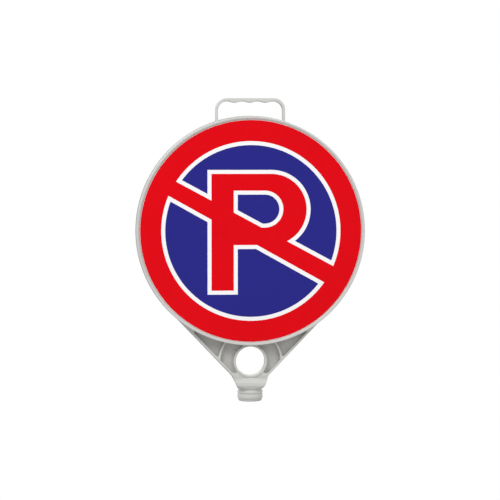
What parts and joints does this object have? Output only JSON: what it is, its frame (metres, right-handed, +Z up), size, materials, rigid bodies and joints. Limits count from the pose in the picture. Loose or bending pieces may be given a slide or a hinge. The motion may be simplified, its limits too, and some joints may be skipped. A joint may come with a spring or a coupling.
{
  "type": "signpost with sign",
  "caption": "Round double-sided no-parking sign head with a carrying handle on top and a tapered yoke that ends in a plug neck for a stand",
  "frame": {"origin": "on the neck's axis, at the neck's lower end, which is the mouth of its bore", "axes": "+Z up along the neck, front face looks along -Y, +X to the right when the front is looked at"},
  "size_m": [0.3984, 0.053, 0.5264],
  "materials": {
    "frame_plastic": "light grey moulded plastic with a fine grain",
    "panel_plastic": "white rigid plastic sheet",
    "bond_tape": "dark closed-cell foam tape",
    "white_sheet": "white retroreflective sheet",
    "red_film": "transparent red overlay film",
    "blue_film": "transparent blue overlay film"
  },
  "bodies": {
    "root": {"sign_frame": "frame_plastic", "front_rim_tape": "bond_tape", "front_hub_tape": "bond_tape", "front_face_panel": "panel_plastic", "front_white_sheet": "white_sheet", "front_red_film": "red_film", "front_blue_upper_film": "blue_film", "front_blue_bowl_film": "blue_film", "front_blue_lower_film": "blue_film", "rear_rim_tape": "bond_tape", "rear_hub_tape": "bond_tape", "rear_face_panel": "panel_plastic", "rear_white_sheet": "white_sheet", "rear_red_film": "red_film", "rear_blue_upper_film": "blue_film", "rear_blue_bowl_film": "blue_film", "rear_blue_lower_film": "blue_film"}
  },
  "joints": []
}
